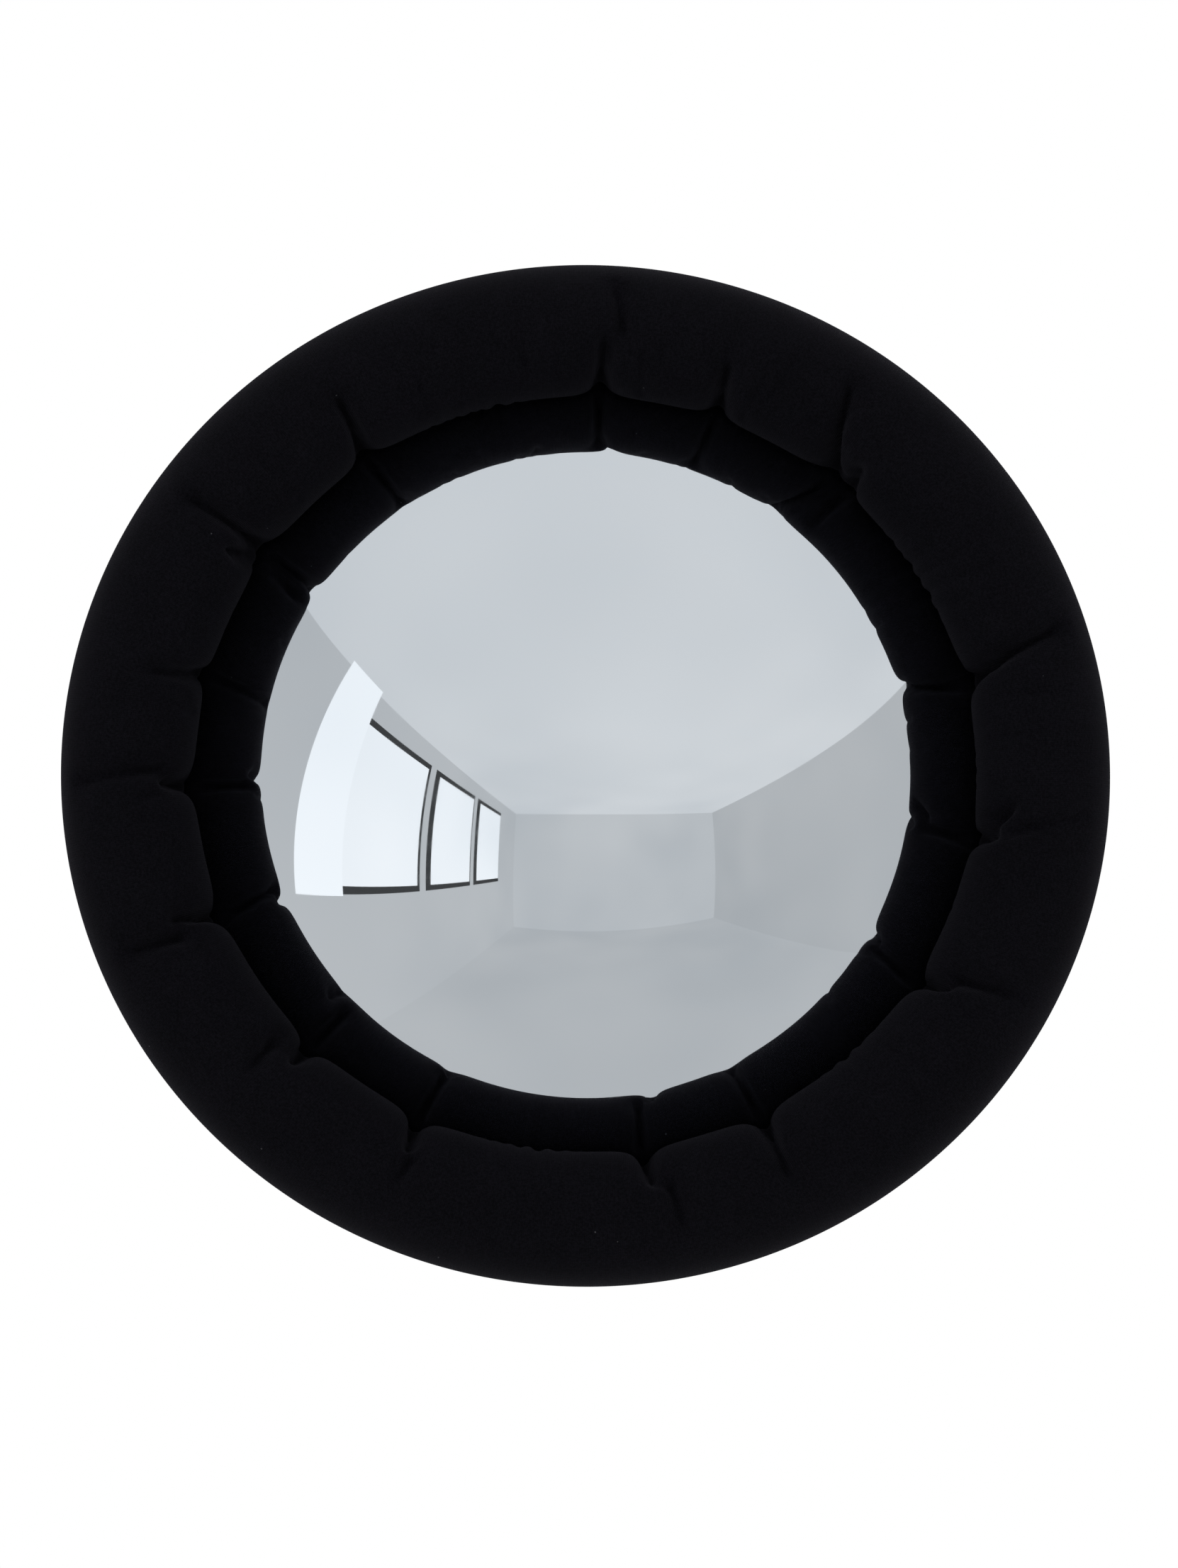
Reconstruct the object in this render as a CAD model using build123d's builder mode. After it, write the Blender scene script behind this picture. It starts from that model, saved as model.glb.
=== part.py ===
"""Convex wall mirror with a stuffed fabric ring, on a bracket that pans and tilts.

Millimetres, +Z up. The wall is the plane Y = 0 and the mirror looks along -Y, so every "depth"
below is a distance in front of the wall. The origin is the centre of the wall plate's back face.
"""

import os
from math import cos, radians, sin, sqrt

from build123d import *

# ---------------------------------------------------------------- driving dimensions

# Padded ring
ring_outer_diameter = 584
ring_inner_diameter = 442
cover_thickness = 1.2
filling_gap = 0.2
wad_count = 20
wad_gap = 0.1
ring_lift = 0.3
press_gap = 0.6
pressed_margin = 1.5
pressed_rounding = 2

# Mirror dome
dome_radius = 280
dome_thickness = 3
dome_flange_radius = 248
dome_fillet = 2
dome_to_ring = 0.5
gasket_thickness = 1
gasket_width = 11
dome_screw_count = 12
dome_screw_circle = 242
dome_screw_radius = 1.75
dome_screw_hole = 2.2
dome_screw_tip = 2
dome_head_radius = 3.5
dome_head_height = 2.4
dome_head_rounding = 1.2
dome_washer_radius = 4.2
dome_washer_thickness = 0.8
cross_slot_length = 3.4
cross_slot_width = 0.8
cross_slot_depth = 1.4

# Backing board and what is stapled to it
board_radius = 270
board_thickness = 12
tape_count = 15
tape_width = 15
tape_thickness = 0.8
tape_gap = 0.2
tape_rise = 3
tape_inner_radius = 236
tape_staple_radius = 258
cloth_thickness = 0.6
cloth_inner_radius = 62
cloth_outer_radius = 250
cloth_staple_count = 8
cloth_staple_inset = 8
board_chamfer = 1

# Bracket
wall_plate_width = 100
wall_plate_height = 120
wall_plate_corner = 12
plate_thickness = 4
wall_hole_spacing_x = 70
wall_hole_spacing_z = 90
wall_hole_radius = 3.5
mirror_plate_radius = 60
plate_screw_circle = 45
ear_radius = 15
ear_thickness = 4
weld_radius = 3
pan_depth = 50
tilt_depth = 110
mirror_plate_depth = 138

# Pivots
barrel_radius = 13
barrel_length = 26
barrel_chamfer = 1
web_width = 16
web_rounding = 3
bolt_radius = 4
running_clearance = 0.05
bush_radius = 5.5
bush_flange_radius = 9
bush_flange = 1
bush_length = 12
thrust_gap = 0.1
neck_clearance = 0.1
bolt_head_radius = 9
bolt_head_height = 4
bolt_head_edge = 0.5
bolt_end_gap = 0.5
bolt_end_chamfer = 0.8
washer_radius = 8
washer_thickness = 1.6
knob_radius = 18
knob_height = 20
knob_bore_clearance = 0.08
knob_lobes = 6
knob_scallop_radius = 6
knob_scallop_circle = 20.5
knob_lobe_rounding = 2.5
knob_edge = 1.2
knob_collar_height = 6
knob_collar_radius = 9
insert_radius = 6
insert_length = 12
insert_groove_depth = 0.6
insert_groove_width = 2
insert_grooves = (3, 7)

# T-nuts and the screws through the mirror plate
nut_barrel_radius = 3.5
nut_barrel_length = 9
nut_flange_radius = 8.5
nut_flange_thickness = 1.2
nut_bore_radius = 2.55
nut_prong_length = 6
nut_prong_width = 2.4
nut_prong_thickness = 0.9
plate_screw_radius = 2.5
plate_screw_hole = 2.75
plate_screw_head = 2.8
plate_screw_head_radius = 4.75
plate_screw_rounding = 1.5
hex_key_radius = 1.5
hex_key_depth = 1.6

# Small fixings
fit_gap = 0.05
washer_clearance = 0.2
staple_width = 12
staple_wire = 0.6
staple_depth = 1.2
staple_leg = 9

# ---------------------------------------------------------------- worked-out places

tube_radius = (ring_outer_diameter - ring_inner_diameter) / 4
tube_circle = (ring_outer_diameter + ring_inner_diameter) / 4

board_back = mirror_plate_depth + plate_thickness
board_front = board_back + board_thickness
tube_depth = board_front + ring_lift + tube_radius

# The dome nearly touches the tube, which fixes the depth of its sphere's centre.
sphere_to_tube = dome_radius + tube_radius + dome_to_ring
sphere_depth = tube_depth - sqrt(sphere_to_tube**2 - tube_circle**2)
flange_back = board_front + gasket_thickness
flange_front = flange_back + dome_thickness
dome_head_back = flange_front + dome_washer_thickness
dome_root = sqrt(dome_radius**2 - (flange_front - sphere_depth) ** 2)

ear_inner = barrel_length / 2 + bush_flange + thrust_gap
ear_outer = ear_inner + ear_thickness
knob_start = ear_outer + washer_thickness + thrust_gap

os.makedirs("parts", exist_ok=True)


# ---------------------------------------------------------------- helpers


def facing(depth):
    """Plane parallel to the wall that faces the room: local x is X, local y is Z."""
    return Plane.XZ.offset(depth)


def radial_plane(angle=0):
    """Plane through the mirror's axis: local x is the radius at this angle, local y the depth."""
    outward = Vector(cos(radians(angle)), 0, sin(radians(angle)))
    return Plane((0, 0, 0), x_dir=outward, z_dir=outward.cross(Vector(0, -1, 0)))


def tangent_plane(angle, radius):
    """Plane square to the radius at this angle: local x runs round the mirror, local y is the depth."""
    outward = Vector(cos(radians(angle)), 0, sin(radians(angle)))
    around = Vector(-sin(radians(angle)), 0, cos(radians(angle)))
    return Plane(outward * radius, x_dir=around, z_dir=around.cross(Vector(0, -1, 0)))


def pivot_plane(depth, along, offset):
    """Plane square to a pivot axis, through a point of it; along is the axis, local x the depth."""
    return Plane(Vector(0, -depth, 0) + along * offset, x_dir=(0, -1, 0), z_dir=along)


def save(part, name):
    """Labels a finished piece and writes its STEP file."""
    part.label = name
    export_step(part, f"parts/{name}.step")


def on_face(depth):
    """Test for the edges that lie in the face at this depth."""
    return lambda edge: abs(edge.center().Y + depth) < fit_gap


def ear_outline(plane, reach, hole_radius=None, square=None):
    """One ear of a clevis: round at its pivot, straight back to its plate, with a hole for the bolt."""
    with BuildSketch(plane) as outline:
        Circle(ear_radius)
        with Locations((reach / 2, 0)):
            Rectangle(abs(reach), 2 * ear_radius)
        if square:
            Rectangle(square, square, mode=Mode.SUBTRACT)
        else:
            Circle(hole_radius, mode=Mode.SUBTRACT)
    return outline.sketch


def staple_profile(angle, radius, crown_depth):
    """U of wire lying across the radius, its crown at crown_depth and its legs in the board."""
    with BuildSketch(tangent_plane(angle, radius)) as profile:
        with Locations((0, crown_depth)):
            Rectangle(staple_width, staple_leg, align=(Align.CENTER, Align.MIN))
        with Locations((0, crown_depth + staple_wire)):
            Rectangle(
                staple_width - 2 * staple_wire,
                staple_leg,
                align=(Align.CENTER, Align.MIN),
                mode=Mode.SUBTRACT,
            )
    return profile.sketch


def tube_section(inset):
    """Section of the stuffed tube, pressed up where it lies on the dome's flange and screw heads."""
    pressed_depth = dome_head_back + dome_head_height + press_gap
    pressed_radius = dome_flange_radius + pressed_margin
    with BuildSketch(radial_plane()) as section:
        with Locations((tube_circle, tube_depth)):
            Circle(tube_radius)
        with Locations((pressed_radius, pressed_depth)):
            Rectangle(tube_radius, tube_radius, align=(Align.MAX, Align.MAX), mode=Mode.SUBTRACT)
        pressed_corner = section.vertices().sort_by_distance((pressed_radius, -pressed_depth, 0))[0]
        fillet(pressed_corner, radius=pressed_rounding)
        if inset:
            offset(amount=-inset, mode=Mode.REPLACE)
    return section.sketch


# ---------------------------------------------------------------- padded ring

with BuildPart() as ring_cover:
    revolve(tube_section(0), axis=Axis.Y)
    revolve(tube_section(cover_thickness), axis=Axis.Y, mode=Mode.SUBTRACT)
save(ring_cover.part, "ring_cover")

# The stuffing is pushed into the tube in wads, which lie end to end all the way round.
with BuildPart() as ring_filling:
    revolve(tube_section(cover_thickness + filling_gap), axis=Axis.Y)
    for turn in range(wad_count // 2):
        with BuildSketch(radial_plane(180 * turn / (wad_count // 2))):
            Rectangle(2 * ring_outer_diameter, 2 * ring_outer_diameter)
        extrude(amount=wad_gap / 2, both=True, mode=Mode.SUBTRACT)
save(ring_filling.part, "ring_filling")

# Webbing tapes hold the ring down: from its underside, round the board's edge, onto the board's back.
tape_angles = [90 + 360 / tape_count * (turn + 0.5) for turn in range(tape_count)]
tape_edge = board_radius + tape_gap
tape_back = board_back - tape_thickness
tape_top = board_front + tape_rise

with BuildPart() as ring_tapes:
    for angle in tape_angles:
        with BuildSketch(radial_plane(angle)):
            with Locations((tape_inner_radius, tape_back)):
                Rectangle(
                    tape_edge + tape_thickness - tape_inner_radius,
                    tape_thickness,
                    align=(Align.MIN, Align.MIN),
                )
            with Locations((tape_edge, tape_back)):
                Rectangle(tape_thickness, tape_top - tape_back, align=(Align.MIN, Align.MIN))
        extrude(amount=tape_width / 2, both=True)
save(ring_tapes.part, "ring_tapes")

with BuildPart() as tape_staples:
    for angle in tape_angles:
        extrude(
            staple_profile(angle, tape_staple_radius, tape_back - staple_wire),
            amount=staple_depth / 2,
            both=True,
        )
save(tape_staples.part, "tape_staples")

# ---------------------------------------------------------------- dome

with BuildPart() as mirror_dome:
    with BuildSketch(radial_plane()) as dome_section:
        with Locations((0, sphere_depth)):
            Circle(dome_radius)
            Circle(dome_radius - dome_thickness, mode=Mode.SUBTRACT)
        with Locations((0, flange_back)):
            Rectangle(dome_radius, dome_radius, align=(Align.MIN, Align.MIN), mode=Mode.INTERSECT)
        with Locations((dome_root, flange_back)):
            Rectangle(dome_flange_radius - dome_root, dome_thickness, align=(Align.MIN, Align.MIN))
        root = dome_section.vertices().sort_by_distance((dome_root, -flange_front, 0))[0]
        fillet(root, radius=dome_fillet)
    revolve(axis=Axis.Y)
    with BuildSketch(facing(flange_back)):
        with PolarLocations(dome_screw_circle, dome_screw_count):
            Circle(dome_screw_hole)
    extrude(amount=dome_thickness, mode=Mode.SUBTRACT)
save(mirror_dome.part, "mirror_dome")

with BuildPart() as dome_gasket:
    with BuildSketch(facing(board_front)):
        Circle(dome_flange_radius)
        Circle(dome_flange_radius - gasket_width, mode=Mode.SUBTRACT)
        with PolarLocations(dome_screw_circle, dome_screw_count):
            Circle(dome_screw_hole, mode=Mode.SUBTRACT)
    extrude(amount=gasket_thickness)
save(dome_gasket.part, "dome_gasket")

with BuildPart() as dome_washers:
    with BuildSketch(facing(flange_front)):
        with PolarLocations(dome_screw_circle, dome_screw_count):
            Circle(dome_washer_radius)
            Circle(dome_screw_radius + washer_clearance, mode=Mode.SUBTRACT)
    extrude(amount=dome_washer_thickness)
save(dome_washers.part, "dome_washers")

with BuildPart() as dome_screws:
    with BuildSketch(facing(board_back + dome_screw_tip)):
        with PolarLocations(dome_screw_circle, dome_screw_count):
            Circle(dome_screw_radius)
    extrude(amount=dome_head_back - board_back - dome_screw_tip)
    tip_faces = dome_screws.faces().sort_by(Axis.Y)[-dome_screw_count:]
    chamfer(tip_faces.edges(), length=1)
    with BuildSketch(facing(dome_head_back)):
        with PolarLocations(dome_screw_circle, dome_screw_count):
            Circle(dome_head_radius)
    extrude(amount=dome_head_height)
    head_faces = dome_screws.faces().sort_by(Axis.Y)[:dome_screw_count]
    fillet(head_faces.edges(), radius=dome_head_rounding)
    with BuildSketch(facing(dome_head_back + dome_head_height)):
        with PolarLocations(dome_screw_circle, dome_screw_count):
            Rectangle(cross_slot_length, cross_slot_width)
            Rectangle(cross_slot_width, cross_slot_length)
    extrude(amount=-cross_slot_depth, mode=Mode.SUBTRACT)
save(dome_screws.part, "dome_screws")

# ---------------------------------------------------------------- backing board

with BuildPart() as backing_board:
    with BuildSketch(facing(board_back)):
        Circle(board_radius)
        with PolarLocations(dome_screw_circle, dome_screw_count):
            Circle(dome_screw_radius + fit_gap, mode=Mode.SUBTRACT)
        with PolarLocations(plate_screw_circle, 4, start_angle=45):
            Circle(nut_barrel_radius + fit_gap, mode=Mode.SUBTRACT)
    extrude(amount=board_thickness)
    rims = backing_board.edges().filter_by(GeomType.CIRCLE).group_by(SortBy.RADIUS)[-1]
    chamfer(rims, length=board_chamfer)
save(backing_board.part, "backing_board")

with BuildPart() as t_nuts:
    with BuildSketch(facing(board_front - nut_barrel_length)):
        with PolarLocations(plate_screw_circle, 4, start_angle=45):
            Circle(nut_barrel_radius)
    extrude(amount=nut_barrel_length)
    with BuildSketch(facing(board_front)):
        with PolarLocations(plate_screw_circle, 4, start_angle=45):
            Circle(nut_flange_radius)
    extrude(amount=nut_flange_thickness)
    with BuildSketch(facing(board_front)):
        with PolarLocations(plate_screw_circle, 4, start_angle=45):
            with PolarLocations(nut_flange_radius - 1, 4):
                Rectangle(nut_prong_thickness, nut_prong_width)
    extrude(amount=-nut_prong_length)
    with BuildSketch(facing(board_front - nut_barrel_length)):
        with PolarLocations(plate_screw_circle, 4, start_angle=45):
            Circle(nut_bore_radius)
    extrude(amount=nut_barrel_length + nut_flange_thickness, mode=Mode.SUBTRACT)
save(t_nuts.part, "t_nuts")

# The dust cloth lies over the inner ends of the tapes.
cloth_back = tape_back - cloth_thickness

with BuildPart() as dust_cloth:
    with BuildSketch(facing(cloth_back)):
        Circle(cloth_outer_radius)
        Circle(cloth_inner_radius, mode=Mode.SUBTRACT)
    extrude(amount=cloth_thickness)
save(dust_cloth.part, "dust_cloth")

outer_staple_angles = [90 + 360 / tape_count * turn for turn in range(tape_count)]
inner_staple_angles = [360 / cloth_staple_count * (turn + 0.5) for turn in range(cloth_staple_count)]
cloth_staples_at = [(angle, cloth_outer_radius - cloth_staple_inset) for angle in outer_staple_angles]
cloth_staples_at += [(angle, cloth_inner_radius + cloth_staple_inset) for angle in inner_staple_angles]

with BuildPart() as cloth_staples:
    for angle, radius in cloth_staples_at:
        extrude(
            staple_profile(angle, radius, cloth_back - staple_wire),
            amount=staple_depth / 2,
            both=True,
        )
save(cloth_staples.part, "cloth_staples")

# ---------------------------------------------------------------- mirror plate and its screws

tilt_axis = Vector(1, 0, 0)
pan_axis = Vector(0, 0, 1)
square_neck = 2 * (bolt_radius + neck_clearance)
bolt_hole = bolt_radius + washer_clearance

with BuildPart() as mirror_plate:
    with BuildSketch(facing(mirror_plate_depth)):
        Circle(mirror_plate_radius)
        with PolarLocations(plate_screw_circle, 4, start_angle=45):
            Circle(plate_screw_hole, mode=Mode.SUBTRACT)
    extrude(amount=plate_thickness)
    reach = mirror_plate_depth - tilt_depth
    extrude(
        ear_outline(pivot_plane(tilt_depth, tilt_axis, ear_inner), reach, hole_radius=bolt_hole),
        amount=ear_thickness,
    )
    extrude(
        ear_outline(pivot_plane(tilt_depth, tilt_axis, -ear_outer), reach, square=square_neck),
        amount=ear_thickness,
    )
    ear_roots = mirror_plate.edges().filter_by(Axis.Z).filter_by(on_face(mirror_plate_depth))
    fillet(ear_roots, radius=weld_radius)
save(mirror_plate.part, "mirror_plate")

with BuildPart() as plate_screws:
    with BuildSketch(facing(mirror_plate_depth - plate_screw_head)):
        with PolarLocations(plate_screw_circle, 4, start_angle=45):
            Circle(plate_screw_head_radius)
    extrude(amount=plate_screw_head)
    head_faces = plate_screws.faces().sort_by(Axis.Y)[-4:]
    fillet(head_faces.edges(), radius=plate_screw_rounding)
    with BuildSketch(facing(mirror_plate_depth)):
        with PolarLocations(plate_screw_circle, 4, start_angle=45):
            Circle(plate_screw_radius)
    extrude(amount=plate_thickness + board_thickness - 1)
    with BuildSketch(facing(mirror_plate_depth - plate_screw_head)):
        with PolarLocations(plate_screw_circle, 4, start_angle=45):
            RegularPolygon(hex_key_radius, 6, major_radius=False)
    extrude(amount=hex_key_depth, mode=Mode.SUBTRACT)
save(plate_screws.part, "plate_screws")

# ---------------------------------------------------------------- wall plate

with BuildPart() as wall_plate:
    with BuildSketch(facing(0)):
        RectangleRounded(wall_plate_width, wall_plate_height, wall_plate_corner)
        with GridLocations(wall_hole_spacing_x, wall_hole_spacing_z, 2, 2):
            Circle(wall_hole_radius, mode=Mode.SUBTRACT)
    extrude(amount=plate_thickness)
    reach = plate_thickness - pan_depth
    extrude(
        ear_outline(pivot_plane(pan_depth, pan_axis, ear_inner), reach, hole_radius=bolt_hole),
        amount=ear_thickness,
    )
    extrude(
        ear_outline(pivot_plane(pan_depth, pan_axis, -ear_outer), reach, square=square_neck),
        amount=ear_thickness,
    )
    ear_roots = wall_plate.edges().filter_by(Axis.X).filter_by(on_face(plate_thickness))
    ear_roots = ear_roots.filter_by_position(Axis.Z, -ear_outer, ear_outer)
    fillet(ear_roots, radius=weld_radius)
save(wall_plate.part, "wall_plate")

# ---------------------------------------------------------------- knuckle and its bushes

with BuildPart() as knuckle:
    with BuildSketch(pivot_plane(pan_depth, pan_axis, -barrel_length / 2)):
        Circle(barrel_radius)
    extrude(amount=barrel_length)
    with BuildSketch(pivot_plane(tilt_depth, tilt_axis, -barrel_length / 2)):
        Circle(barrel_radius)
    extrude(amount=barrel_length)
    chamfer(knuckle.edges().filter_by(GeomType.CIRCLE), length=barrel_chamfer)
    with BuildSketch(facing(pan_depth)):
        RectangleRounded(web_width, web_width, web_rounding)
    extrude(amount=tilt_depth - pan_depth)
    with BuildSketch(pivot_plane(pan_depth, pan_axis, -barrel_length / 2)):
        Circle(bush_radius)
    extrude(amount=barrel_length, mode=Mode.SUBTRACT)
    with BuildSketch(pivot_plane(tilt_depth, tilt_axis, -barrel_length / 2)):
        Circle(bush_radius)
    extrude(amount=barrel_length, mode=Mode.SUBTRACT)
save(knuckle.part, "knuckle")


def bush_halves(depth, axis):
    """The two flanged bushes of one barrel, pressed in from its ends, as one group of two solids."""
    with BuildPart() as pair:
        for side in (-1, 1):
            with BuildSketch(pivot_plane(depth, axis * side, barrel_length / 2 - bush_length)):
                Circle(bush_radius - fit_gap)
                Circle(bolt_radius + running_clearance, mode=Mode.SUBTRACT)
            extrude(amount=bush_length)
            with BuildSketch(pivot_plane(depth, axis * side, barrel_length / 2)):
                Circle(bush_flange_radius)
                Circle(bolt_radius + running_clearance, mode=Mode.SUBTRACT)
            extrude(amount=bush_flange)
    return pair.part


def carriage_bolt(depth, axis):
    """Bolt whose square neck sits in the square-holed ear and whose end is inside the knob."""
    with BuildPart() as bolt:
        with BuildSketch(pivot_plane(depth, axis, -ear_outer - bolt_head_height)):
            Circle(bolt_head_radius)
        extrude(amount=bolt_head_height)
        rim = bolt.edges().filter_by(GeomType.CIRCLE).sort_by(axis_through(depth, axis))[0]
        fillet(rim, radius=bolt_head_height - bolt_head_edge)
        with BuildSketch(pivot_plane(depth, axis, -ear_outer)):
            Rectangle(2 * bolt_radius, 2 * bolt_radius)
        extrude(amount=ear_thickness)
        with BuildSketch(pivot_plane(depth, axis, -ear_inner)):
            Circle(bolt_radius)
        extrude(amount=ear_inner + knob_start + insert_length - bolt_end_gap)
        tip = bolt.edges().filter_by(GeomType.CIRCLE).sort_by(axis_through(depth, axis))[-1]
        chamfer(tip, length=bolt_end_chamfer)
    return bolt.part


def axis_through(depth, direction):
    """A pivot's axis line."""
    return Axis((0, -depth, 0), direction)


def ear_washer(depth, axis):
    """Washer between the plain-holed ear and the knob."""
    with BuildPart() as washer:
        with BuildSketch(pivot_plane(depth, axis, ear_outer)):
            Circle(washer_radius)
            Circle(bolt_hole, mode=Mode.SUBTRACT)
        extrude(amount=washer_thickness)
    return washer.part


def star_knob(depth, axis):
    """Lobed clamp knob with a pocket for its insert."""
    with BuildPart() as knob:
        with BuildSketch(pivot_plane(depth, axis, knob_start + knob_collar_height)) as grip:
            Circle(knob_radius)
            with PolarLocations(knob_scallop_circle, knob_lobes):
                Circle(knob_scallop_radius, mode=Mode.SUBTRACT)
            fillet(grip.vertices(), radius=knob_lobe_rounding)
        extrude(amount=knob_height - knob_collar_height)
        ends = knob.faces().filter_by(axis_through(depth, axis))
        fillet(ends.edges(), radius=knob_edge)
        with BuildSketch(pivot_plane(depth, axis, knob_start)):
            Circle(knob_collar_radius)
        extrude(amount=knob_collar_height + knob_edge)
        with BuildSketch(pivot_plane(depth, axis, knob_start)):
            Circle(insert_radius + fit_gap)
        extrude(amount=insert_length + fit_gap, mode=Mode.SUBTRACT)
    return knob.part


def threaded_insert(depth, axis):
    """Brass insert of a knob, with the two grooves that hold it in the plastic."""
    with BuildPart() as insert:
        with BuildSketch(pivot_plane(depth, axis, knob_start)):
            Circle(insert_radius)
            Circle(bolt_radius + knob_bore_clearance, mode=Mode.SUBTRACT)
        extrude(amount=insert_length)
        for groove in insert_grooves:
            with BuildSketch(pivot_plane(depth, axis, knob_start + groove)):
                Circle(insert_radius)
                Circle(insert_radius - insert_groove_depth, mode=Mode.SUBTRACT)
            extrude(amount=insert_groove_width, mode=Mode.SUBTRACT)
    return insert.part


for pivot, depth, axis in (("pan", pan_depth, pan_axis), ("tilt", tilt_depth, tilt_axis)):
    save(bush_halves(depth, axis), f"{pivot}_bushes")
    save(carriage_bolt(depth, axis), f"{pivot}_bolt")
    save(ear_washer(depth, axis), f"{pivot}_washer")
    save(star_knob(depth, axis), f"{pivot}_knob")
    save(threaded_insert(depth, axis), f"{pivot}_knob_insert")

print(f"tube centre: radius {tube_circle:.2f}, depth {tube_depth:.2f}")
print(f"sphere centre depth {sphere_depth:.2f}, dome front {sphere_depth + dome_radius:.2f}")
print(f"dome root radius {dome_root:.2f}")
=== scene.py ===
"""Convex wall mirror in a gathered, stuffed fabric ring, on its pan and tilt bracket.

Metres, +Z up. The wall is the plane Y = 0, and the mirror looks along -Y. "Turn" is an angle round
the mirror's axis from +X towards +Z, and "depth" is a distance in front of the wall.
"""

import math

import bpy
import numpy as np
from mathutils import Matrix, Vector


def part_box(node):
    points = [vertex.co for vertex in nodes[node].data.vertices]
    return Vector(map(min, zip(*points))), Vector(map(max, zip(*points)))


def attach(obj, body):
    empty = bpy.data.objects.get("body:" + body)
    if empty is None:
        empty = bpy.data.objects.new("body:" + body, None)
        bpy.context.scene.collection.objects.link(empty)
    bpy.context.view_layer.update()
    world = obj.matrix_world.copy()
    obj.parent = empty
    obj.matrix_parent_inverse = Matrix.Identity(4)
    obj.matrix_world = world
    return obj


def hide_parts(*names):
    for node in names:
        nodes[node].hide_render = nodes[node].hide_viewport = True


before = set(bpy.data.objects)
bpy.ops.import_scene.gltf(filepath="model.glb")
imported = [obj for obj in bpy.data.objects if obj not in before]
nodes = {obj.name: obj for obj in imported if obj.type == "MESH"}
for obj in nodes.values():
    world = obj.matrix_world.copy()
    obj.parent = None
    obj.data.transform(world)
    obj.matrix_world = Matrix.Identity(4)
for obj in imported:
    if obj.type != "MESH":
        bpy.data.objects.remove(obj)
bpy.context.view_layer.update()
scene = bpy.context.scene

MM = 0.001

# ---------------------------------------------------------------- places taken from the frame

ring_low, ring_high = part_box("ring_cover")
board_low, board_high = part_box("backing_board")
dome_low, dome_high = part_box("mirror_dome")
tape_low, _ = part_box("ring_tapes")
cloth_low, cloth_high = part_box("dust_cloth")
head_low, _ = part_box("dome_screws")

TUBE = (ring_high.y - ring_low.y) / 2
RING = (ring_high.x - ring_low.x) / 2 - TUBE
RING_DEPTH = -(ring_high.y + ring_low.y) / 2
BOARD = (board_high.x - board_low.x) / 2
BOARD_FRONT = -board_low.y
BOARD_BACK = -board_high.y
DOME = 280 * MM
DOME_FRONT = -dome_low.y
DOME_BACK = -dome_high.y
DOME_RIM = (dome_high.x - dome_low.x) / 2
DOME_CENTRE = DOME_FRONT - DOME
DOME_THICKNESS = 3 * MM
SCREW_HEAD_FRONT = -head_low.y
MIDDLE = Vector((0, -RING_DEPTH, 0))

# ---------------------------------------------------------------- small helpers


def link(obj):
    scene.collection.objects.link(obj)
    return obj


def mesh_object(name, points, faces, smooth=True):
    """An object made of a list of points and a list of faces."""
    mesh = bpy.data.meshes.new(name)
    mesh.from_pydata([tuple(map(float, p)) for p in points], [], [tuple(map(int, f)) for f in faces])
    mesh.validate()
    mesh.update()
    mesh.shade_smooth() if smooth else mesh.shade_flat()
    return link(bpy.data.objects.new(name, mesh))


def wrap(angle):
    """The same angle between minus and plus half a turn."""
    return (angle + math.pi) % (2 * math.pi) - math.pi


def smooth_step(x):
    x = np.clip(x, 0, 1)
    return x * x * (3 - 2 * x)


def torus_faces(columns, rows):
    """Quads of a grid that closes on itself both ways."""
    index = np.arange(columns * rows).reshape(columns, rows)
    after = np.roll(index, -1, axis=0)
    quads = np.stack([index, after, np.roll(after, -1, axis=1), np.roll(index, -1, axis=1)], axis=-1)
    return quads.reshape(-1, 4)


def rod_faces(base, count, sides):
    """Faces of a capped rod of that many sections, whose points start at index base."""
    faces = []
    for number in range(count - 1):
        for side in range(sides):
            a = base + number * sides + side
            b = base + number * sides + (side + 1) % sides
            faces.append((a, b, b + sides, a + sides))
    last = base + (count - 1) * sides
    faces.append([base + side for side in reversed(range(sides))])
    faces.append([last + side for side in range(sides)])
    return faces


def lathe_point(turn, radius, depth):
    """Points at a turn, a radius and a depth, each a number or an array."""
    return np.stack([radius * np.cos(turn), -depth + 0 * turn, radius * np.sin(turn)], axis=-1)


# ---------------------------------------------------------------- materials


def new_material(name):
    """A material with only its principled shader and its output."""
    material = bpy.data.materials.new(name)
    material.use_nodes = True
    shader = material.node_tree.nodes["Principled BSDF"]
    return material, material.node_tree, shader


def node(tree, kind, inputs=None, **settings):
    """One shader node; an input is a value, or another node's output socket to link from."""
    made = tree.nodes.new(kind)
    for key, value in settings.items():
        setattr(made, key, value)
    for key, value in (inputs or {}).items():
        if isinstance(value, bpy.types.NodeSocket):
            tree.links.new(value, made.inputs[key])
        else:
            made.inputs[key].default_value = value
    return made


def set_inputs(tree, shader, **values):
    """Sets a shader's sockets by name, with underscores for spaces."""
    for key, value in values.items():
        socket = shader.inputs[key.replace("_", " ")]
        if isinstance(value, bpy.types.NodeSocket):
            tree.links.new(value, socket)
        else:
            socket.default_value = value


def object_place(tree, scale=(1, 1, 1), rotation=(0, 0, 0)):
    """The point in the object's own frame, scaled and turned."""
    place = node(tree, "ShaderNodeTexCoord")
    mapping = node(tree, "ShaderNodeMapping", {"Vector": place.outputs["Object"]})
    mapping.inputs["Scale"].default_value = scale
    mapping.inputs["Rotation"].default_value = rotation
    return mapping.outputs["Vector"]


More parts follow.
